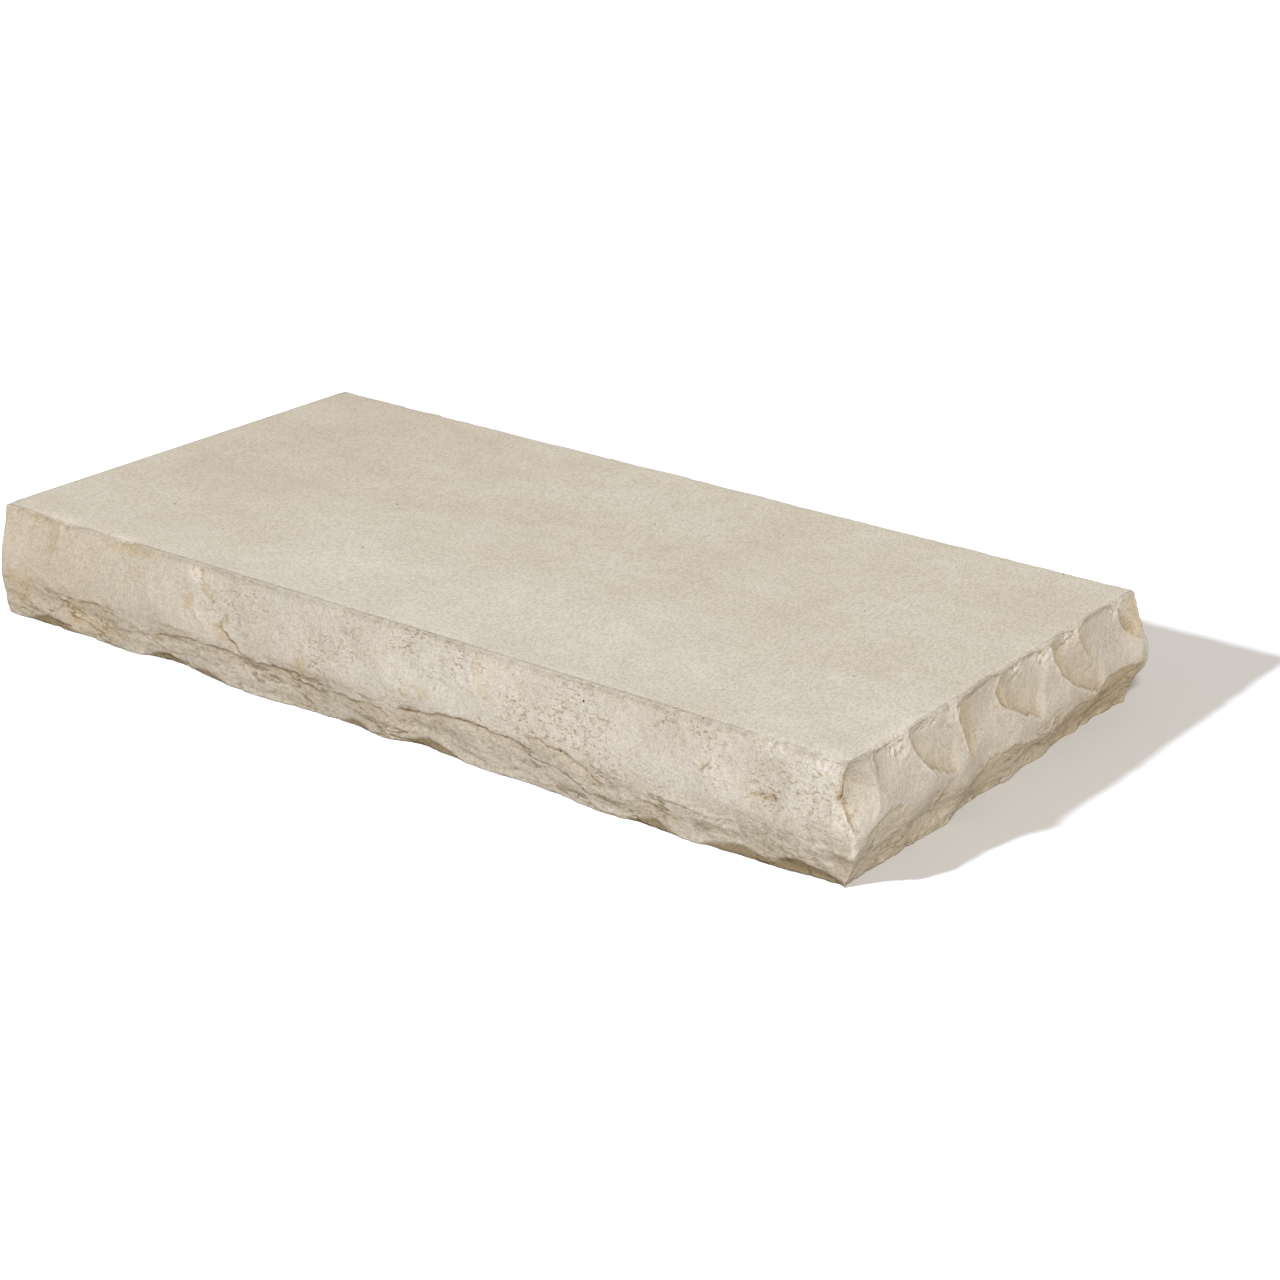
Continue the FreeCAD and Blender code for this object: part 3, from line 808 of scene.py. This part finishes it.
def build_mesh():
    """The whole skin, with what the material needs to know of each vertex as attributes."""
    core, facing = side_columns()
    sides, skin = press_sides(cast_sides(core, facing, row_heights()))
    patch = butt_patch(sides)
    grid = np.concatenate([sides, patch], axis=1)
    values = {}
    for name, field in skin.items():
        plain = np.full(patch.shape[:2], BUTT_GRIME if name == "dust_and_shade" else 0.0)
        values[name] = list(np.concatenate([field, plain], axis=1).reshape(-1))
    rows, columns = grid.shape[:2]
    vertices = list(grid.reshape(-1, 3))
    faces = []
    for row in range(rows - 1):
        for column in range(columns):
            after = (column + 1) % columns
            low, high = row * columns, (row + 1) * columns
            faces.append((low + column, low + after, high + after, high + column))

    first_top = len(vertices)
    inner = top_points(grid[-1, :len(core), :2], facing)
    add_cap(vertices, values, faces, grid[-1, :, :2], inner, (rows - 1) * columns, top_height)
    values["dull"] = [0.0] * first_top + [top_dullness(x, y) for x, y, _ in vertices[first_top:]]
    inner = base_points(grid[0, :len(core), :2], facing)
    add_cap(vertices, values, faces, grid[0, :, :2], inner, 0, lambda x, y: 0.0, downwards=True)

    mesh = bpy.data.meshes.new("coping_stone")
    mesh.from_pydata([tuple(v * MM) for v in vertices], [], faces)
    for name, field in values.items():
        mesh.attributes.new(name, "FLOAT", "POINT").data.foreach_set("value", np.array(field, np.float32))
    mesh.validate()
    mesh.update()
    shade_sides(mesh)
    return mesh


def shade_sides(mesh):
    """Smooth shading, but for the flat butt end and base, which meet the sides at sharp edges."""
    normals = np.zeros(3 * len(mesh.polygons))
    mesh.polygons.foreach_get("normal", normals)
    normals = normals.reshape(-1, 3)
    flat = (normals[:, 0] < FLAT_NORMAL) | (normals[:, 2] < FLAT_NORMAL)
    mesh.polygons.foreach_set("use_smooth", ~flat)


# Nodes of the materials

# The node editor shows the nodes in rows, in the order of making.
NODE_COLUMNS, NODE_SPACING = 12, 320


def add_node(tree, kind, inputs=None, **settings):
    """A shader node with its inputs set to values or linked to other nodes' outputs."""
    row, column = divmod(len(tree.nodes), NODE_COLUMNS)
    node = tree.nodes.new("ShaderNode" + kind)
    node.location = (column * NODE_SPACING, -row * NODE_SPACING)
    for name, value in settings.items():
        setattr(node, name, value)
    for name, value in (inputs or {}).items():
        connect(tree, node.inputs[name], value)
    return node


def connect(tree, socket, value):
    if isinstance(value, bpy.types.NodeSocket):
        tree.links.new(value, socket)
    else:
        socket.default_value = value


def noise_of(tree, kind):
    """The noise of a kind, about 0.5 on average."""
    settings = GRAINS[kind]
    coords = add_node(tree, "TexCoord")
    scale = tuple(settings["size"] * MM * s for s in settings.get("stretch", (1, 1, 1)))
    turn = tuple(math.radians(a) for a in settings.get("turn", (0, 0, 0)))
    mapping = add_node(tree, "Mapping", {"Vector": coords.outputs["Object"], "Scale": scale,
                                         "Rotation": turn}, vector_type="TEXTURE")
    node = add_node(tree, "TexNoise", {"Vector": mapping.outputs["Vector"], "Scale": 1.0,
                                       "Detail": settings["detail"],
                                       "Roughness": settings.get("roughness", 0.5)})
    return node.outputs["Fac"]


def dots(tree, spacing, radius, softness):
    """Round dots of about one radius, scattered about one spacing apart, in millimetres."""
    coords = add_node(tree, "TexCoord")
    cells = add_node(tree, "TexVoronoi", {"Vector": coords.outputs["Object"], "Scale": 1 / (spacing * MM)})
    reach = radius / spacing
    return share_of(tree, cells.outputs["Distance"], none=reach, full=reach * (1 - softness))


def share_of(tree, value, none, full, least=0.0, most=1.0):
    """The least where the value is at or beyond none, the most where it is at or beyond full."""
    node = add_node(tree, "MapRange", {"Value": value, "From Min": none, "From Max": full,
                                       "To Min": least, "To Max": most})
    return node.outputs["Result"]


def calculated(tree, operation, *values):
    node = add_node(tree, "Math", operation=operation)
    for socket, value in zip(node.inputs, values):
        connect(tree, socket, value)
    return node.outputs["Value"]


def product(tree, first, second):
    return calculated(tree, "MULTIPLY", first, second)


def off_middle(tree, value):
    """How far a value lies from a half, either way."""
    return calculated(tree, "ABSOLUTE", calculated(tree, "SUBTRACT", value, 0.5))


def tinted(tree, share, colour, tint, blend="MULTIPLY"):
    """A colour mixed with a tint by a share."""
    node = add_node(tree, "Mix", data_type="RGBA", blend_type=blend)
    for socket, value in zip((node.inputs[0], node.inputs[6], node.inputs[7]), (share, colour, tint)):
        connect(tree, socket, value)
    return node.outputs[2]


# The stone

STONE = (0.643, 0.610, 0.554, 1)
STONE_PALE_AND_HIGHLIGHT = (0.840, 0.812, 0.765, 1)  # where the stone has crumbled, and as a painted highlight on ridges

# The tints multiply the stone's colour.
CLOUD = (0.93, 0.905, 0.875, 1)  # in wide clouds
DULL = (0.90, 0.87, 0.825, 1)  # on the top's far parts
ROCK_SHADE = (0.832, 0.828, 0.840, 1)  # painted shade all over the rock face, which darkens the sides against the top
GRAIN = (0.85, 0.825, 0.775, 1)  # in the dark grains
DUST_AND_SHADE = (0.92, 0.845, 0.70, 1)  # where brown dust lies, and painted shade low down, on the closed end and beside cracks
RECESS_SHADE = (0.70, 0.63, 0.51, 1)  # painted shade in hollows
STAIN_AND_SHADE = (0.53, 0.47, 0.34, 1)  # stain on layer edges and low on the closed end's far part; stain and painted shade in the base's chips; painted shade under the top edge and in the closed end's first hollow
SPECK = (0.68, 0.585, 0.43, 1)  # in pits
SEAM = (0.46, 0.37, 0.25, 1)  # in cracks
PINHOLE = (0.22, 0.17, 0.11, 1)
PATCH_LIGHTNESS = dict(least=0.97, most=1.03)

# Noises of the material. Sizes are of their grains, in millimetres. Some are drawn out along X, Y and Z and
# then turned by so many degrees.
GRAINS = {
    "clouds": dict(size=60, detail=3),
    "patches": dict(size=14, detail=3),
    "sand": dict(size=1.3, detail=3, roughness=0.6),
    "grit": dict(size=4.5, detail=5, roughness=0.74),
    "strokes": dict(size=1.25, detail=3, roughness=0.65, stretch=(1.0, 2.4, 1.0), turn=(0, 0, 9)),
    "streaks": dict(size=1.1, detail=2, stretch=(5.0, 5.0, 1.0), turn=(0, 28, 0)),
    "specks": dict(size=1.5, detail=2, stretch=(2.2, 2.2, 1.0)),
    "veins": dict(size=6.0, detail=4, roughness=0.65),
    "vein_breaks": dict(size=4.0, detail=2),
    "layers": dict(size=15.0, detail=5, roughness=0.6, stretch=(4.0, 4.0, 1.0), turn=(0, 8, 0)),
}
VEIN_WIDTH = 0.016  # half of it, in units of the veins' noise
LAYER_LINES, LAYER_WIDTH = 5, 0.12  # lines for each unit of the layers' noise, and half their width
CRACK_RAGGED = 0.9  # how much the sand breaks up the edges of the cracks
PINHOLE_SPACING, PINHOLE_RADIUS, PINHOLE_SOFTNESS = 26, 0.8, 0.5

ROUGHNESS = dict(least=0.86, most=0.97)
SPECULAR = 0.2

# The finest relief: heights of the noises and depths of the marks, in millimetres.
GRIT_HEIGHT, SAND_HEIGHT, STROKE_HEIGHT = 1.15, 0.35, 0.3
SPECK_DEPTH, LINE_DEPTH, PINHOLE_DEPTH = 0.15, 0.4, 0.7


def cast_stone():
    """Buff cast stone: mottled and grained all over, pitted on the rock face, brushed across on the top."""
    material = bpy.data.materials.new("cast_stone")
    material.use_nodes = True
    tree = material.node_tree
    tree.nodes.clear()
    names = ("rock", "hollow", "dust_and_shade", "stain_and_shade", "pale", "pitted", "seam", "layered", "dull")
    rock, hollow, dust_and_shade, stain_and_shade, pale, pitted, seam, layered, dull = (
        add_node(tree, "Attribute", attribute_name=name).outputs["Fac"] for name in names)
    smooth_cast = calculated(tree, "SUBTRACT", 1.0, rock)
    sand = noise_of(tree, "sand")
    strokes = noise_of(tree, "strokes")
    specks = speck_mask(tree, pitted)
    lines = line_mask(tree, seam, layered, sand)
    pinholes = dots(tree, PINHOLE_SPACING, PINHOLE_RADIUS, PINHOLE_SOFTNESS)
    grains = stone_grains(tree, rock, smooth_cast, sand, strokes, layered)

    # Painted highlight on ridges and painted shade in hollows, by how hollow each point is.
    ridge_highlight = share_of(tree, hollow, none=-0.05, full=-0.45, most=0.6)
    recess_shade = share_of(tree, hollow, none=0.06, full=0.6)
    colour = tinted(tree, calculated(tree, "MAXIMUM", pale, ridge_highlight), STONE, STONE_PALE_AND_HIGHLIGHT, blend="MIX")
    colour = clouded(tree, colour)
    for share, tint in ((dull, DULL), (rock, ROCK_SHADE), (grains, GRAIN), (dust_and_shade, DUST_AND_SHADE), (recess_shade, RECESS_SHADE),
                        (stain_and_shade, STAIN_AND_SHADE), (specks, SPECK), (lines, SEAM), (pinholes, PINHOLE)):
        colour = tinted(tree, share, colour, tint)

    roughness = share_of(tree, sand, none=0.3, full=0.7, **ROUGHNESS)
    normal = stone_bump(tree, rock, smooth_cast, sand, strokes, specks, lines, pinholes)
    shader = add_node(tree, "BsdfPrincipled", {"Base Color": colour, "Roughness": roughness,
                                               "Specular IOR Level": SPECULAR, "Normal": normal})
    add_node(tree, "OutputMaterial", {"Surface": shader.outputs["BSDF"]})
    return material


def clouded(tree, colour):
    """The colour with light and dark all over: wide brown clouds and smaller patches."""
    clouds = share_of(tree, noise_of(tree, "clouds"), none=0.7, full=0.3)
    lightness = share_of(tree, noise_of(tree, "patches"), none=0.3, full=0.7, **PATCH_LIGHTNESS)
    return tinted(tree, 1.0, tinted(tree, clouds, colour, CLOUD), lightness)


def stone_grains(tree, rock, smooth_cast, sand, strokes, layered):
    """How much each dark grain shows: sand on the rock face, fine diagonal streaks low down on it, and
    strokes brushed across the slab on the top."""
    dark_sand = share_of(tree, sand, none=0.60, full=0.38)
    dark_streaks = share_of(tree, noise_of(tree, "streaks"), none=0.50, full=0.36, most=0.7)
    dark_strokes = share_of(tree, strokes, none=0.55, full=0.42)
    sanded = product(tree, dark_sand, rock)
    streaked = product(tree, dark_streaks, layered)
    brushed = product(tree, dark_strokes, smooth_cast)
    return calculated(tree, "ADD", calculated(tree, "ADD", sanded, streaked), brushed)


def speck_mask(tree, pitted):
    """Brown specks and short veins, where the stone is pitted."""
    specks = share_of(tree, noise_of(tree, "specks"), none=0.58, full=0.67)
    veins = share_of(tree, off_middle(tree, noise_of(tree, "veins")), none=VEIN_WIDTH, full=VEIN_WIDTH / 3)
    kept = share_of(tree, noise_of(tree, "vein_breaks"), none=0.48, full=0.58, most=0.9)
    marks = calculated(tree, "MAXIMUM", specks, product(tree, veins, kept))
    return product(tree, marks, pitted)


def line_mask(tree, seam, layered, sand):
    """Thin dark lines: the cracks, ragged at the scale of the sand, and the edges of the layers low down."""
    sand_waver = calculated(tree, "SUBTRACT", sand, 0.5)
    ragged = calculated(tree, "MULTIPLY_ADD", sand_waver, CRACK_RAGGED, seam)
    cracks = share_of(tree, ragged, none=0.62, full=0.95)
    level = calculated(tree, "FRACT", product(tree, noise_of(tree, "layers"), LAYER_LINES))
    edges = share_of(tree, off_middle(tree, level), none=LAYER_WIDTH, full=LAYER_WIDTH / 4, most=0.9)
    return calculated(tree, "MAXIMUM", cracks, product(tree, edges, layered))


def stone_bump(tree, rock, smooth_cast, sand, strokes, specks, lines, pinholes):
    """The finest relief, with heights in millimetres: grain, strokes, pits, thin cracks and pinholes."""
    grit = product(tree, noise_of(tree, "grit"), GRIT_HEIGHT)
    rough = product(tree, calculated(tree, "MULTIPLY_ADD", sand, SAND_HEIGHT, grit), rock)
    brushed = product(tree, product(tree, strokes, STROKE_HEIGHT), smooth_cast)
    height = calculated(tree, "ADD", rough, brushed)
    for holes, depth in ((specks, SPECK_DEPTH), (lines, LINE_DEPTH), (pinholes, PINHOLE_DEPTH)):
        height = calculated(tree, "SUBTRACT", height, product(tree, holes, depth))
    bump = add_node(tree, "Bump", {"Height": height, "Distance": MM, "Strength": 1.0})
    return bump.outputs["Normal"]


# Floor, light and camera

FLOOR_REACH = 6000
FLOOR_COLOUR = (0.543, 0.523, 0.501, 1)

# The key lights the slab. The floor light falls on the floor alone, where it makes the ground white and gives
# the shadow its edge. Each has a direction towards it, and a spread in degrees.
KEY = dict(towards=(0.42, -0.60, 0.68), strength=3.2, spread=14, colour=(1, 1, 1))
FLOOR_LIGHT = dict(towards=(-0.332, -0.83, 0.447), strength=11.0, spread=3, colour=(0.70, 0.79, 0.96))

# Light from all round, which changes from the sky's to the ground's at the horizon.
SKY = (1.0, 0.95, 0.87, 1)
GROUND_GLOW = (2.10, 1.96, 1.72, 1)
WORLD_STRENGTH = 0.46
HORIZON = 0.15

# The camera that gives the photo's view. The yaw is to the right of the front, and the pitch is down.
CAMERA_PLACE = (928.1, -1245.3, 635.1)
CAMERA_YAW, CAMERA_PITCH, CAMERA_ROLL = 34.958, 21.854, 1.730
CAMERA_LENS, CAMERA_SENSOR = 78.649, 36.0


def placed(name, data):
    """A new object of the scene."""
    thing = bpy.data.objects.new(name, data)
    bpy.context.scene.collection.objects.link(thing)
    return thing


def build_floor():
    """A pale floor that catches the shadow but throws no light back up at the slab."""
    reach = FLOOR_REACH * MM
    corners = [(-reach, -reach, 0), (reach, -reach, 0), (reach, reach, 0), (-reach, reach, 0)]
    mesh = bpy.data.meshes.new("floor")
    mesh.from_pydata(corners, [], [(0, 1, 2, 3)])
    floor = placed("floor", mesh)
    floor.visible_diffuse = False
    material = bpy.data.materials.new("floor_pale")
    material.use_nodes = True
    shader = material.node_tree.nodes["Principled BSDF"]
    for name, value in (("Base Color", FLOOR_COLOUR), ("Roughness", 1.0), ("Specular IOR Level", 0.0)):
        shader.inputs[name].default_value = value
    mesh.materials.append(material)
    return floor


def sun(name, towards, strength, spread, colour):
    lamp = bpy.data.lights.new(name, "SUN")
    lamp.energy = strength
    lamp.angle = math.radians(spread)
    lamp.color = colour
    holder = placed(name, lamp)
    holder.rotation_euler = Vector(towards).to_track_quat("Z", "Y").to_euler()
    return holder


def build_world():
    """Soft light from all round, and more of it from below, as a pale ground throws it back up."""
    world = bpy.data.worlds.new("studio")
    world.use_nodes = True
    tree = world.node_tree
    coords = add_node(tree, "TexCoord")
    direction = add_node(tree, "SeparateXYZ", {"Vector": coords.outputs["Generated"]})
    below = share_of(tree, direction.outputs["Z"], none=HORIZON, full=-HORIZON)
    background = tree.nodes["Background"]
    connect(tree, background.inputs["Color"], tinted(tree, below, SKY, GROUND_GLOW, blend="MIX"))
    background.inputs["Strength"].default_value = WORLD_STRENGTH
    bpy.context.scene.world = world


def build_light(floor):
    build_world()
    sun("key", **KEY)
    floor_light = sun("floor_light", **FLOOR_LIGHT)
    floor_only = bpy.data.collections.new("floor_only")
    floor_only.objects.link(floor)
    floor_light.light_linking.receiver_collection = floor_only
    bpy.context.scene.view_settings.view_transform = "Standard"


def build_camera():
    yaw, pitch, roll = (math.radians(a) for a in (CAMERA_YAW, CAMERA_PITCH, CAMERA_ROLL))
    data = bpy.data.cameras.new("camera")
    data.lens = CAMERA_LENS
    data.sensor_width = CAMERA_SENSOR
    camera = placed("camera", data)
    camera.matrix_world = Matrix.Translation(Vector(CAMERA_PLACE) * MM)
    for angle, axis in ((yaw, "Z"), (math.pi / 2 - pitch, "X"), (roll, "Z")):
        camera.matrix_world = camera.matrix_world @ Matrix.Rotation(angle, 4, axis)
    bpy.context.scene.camera = camera


stone = placed("coping_stone", build_mesh())
stone.data.materials.append(cast_stone())
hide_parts(NODE)
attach(stone, "root")
build_light(build_floor())
build_camera()
